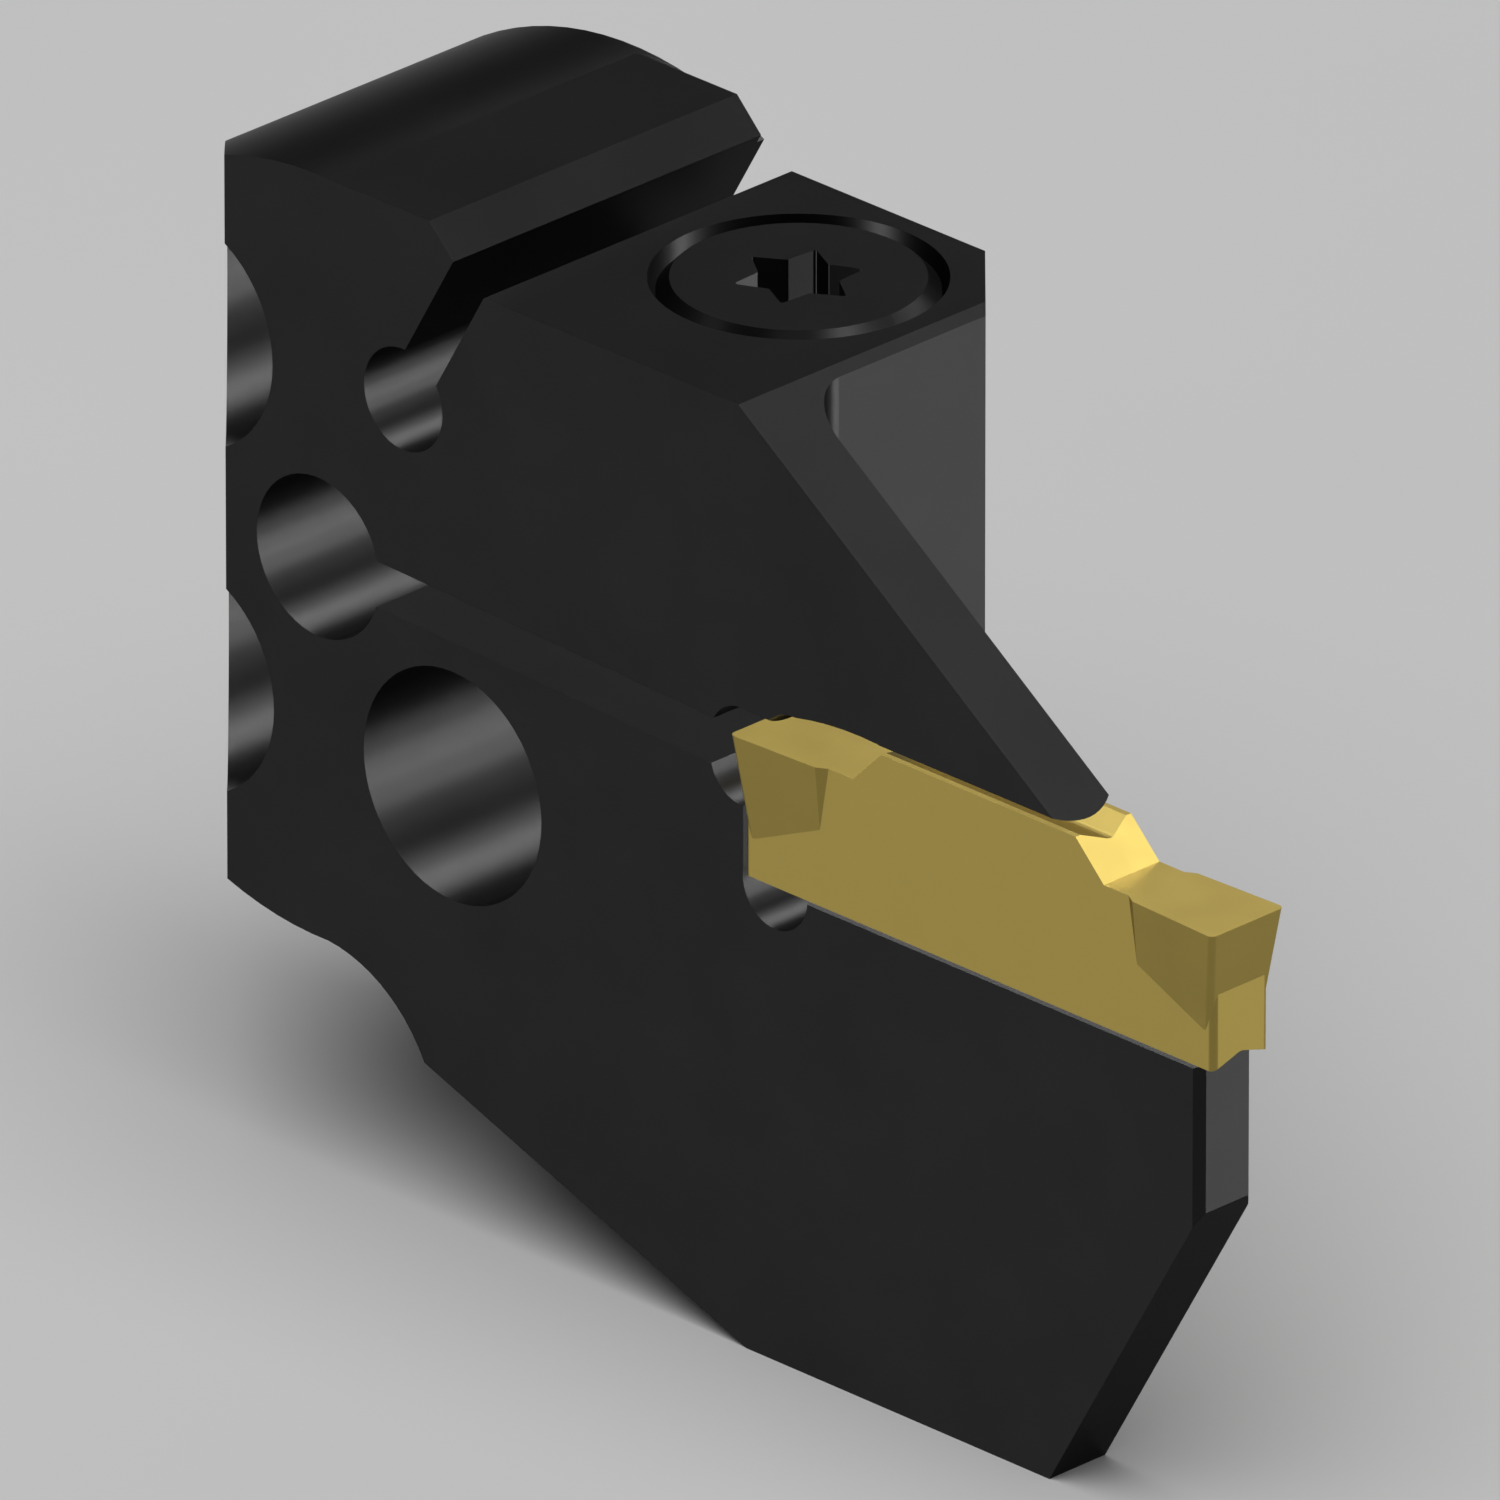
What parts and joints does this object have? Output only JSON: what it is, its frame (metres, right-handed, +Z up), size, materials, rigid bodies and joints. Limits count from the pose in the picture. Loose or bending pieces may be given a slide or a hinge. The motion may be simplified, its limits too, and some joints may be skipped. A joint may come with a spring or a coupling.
{
  "type": "grooving tool head",
  "caption": "Steel grooving head with a round coupling face, a slit spring jaw closed by a clamp screw, and a double-ended cutting insert.",
  "frame": {"origin": "centre of the round coupling face, where the coolant hole's axis meets it", "axes": "+Y out of the coupling face into the holder, +X towards the cutting edge, +Z up"},
  "size_m": [0.0502, 0.0135, 0.0325],
  "materials": {
    "black_steel": "black oxide, satin",
    "coated_carbide": "gold-coloured hard coating, satin",
    "screw_steel": "black oxide, satin"
  },
  "bodies": {
    "head": {"head_body": "black_steel"},
    "insert": {"cutting_insert": "coated_carbide"},
    "screw": {"clamp_screw": "screw_steel"}
  },
  "joints": [
    {"name": "insert_slide", "type": "slide", "parent": "head", "child": "insert", "axis": [1, 0, 0], "range_m": [0, 0.019]},
    {"name": "clamp_screw_turn", "type": "hinge", "parent": "head", "child": "screw", "pos_m": [0.0125, -0.0055, 0], "axis": [0, 0, 1], "range_deg": [0, 1080]}
  ]
}
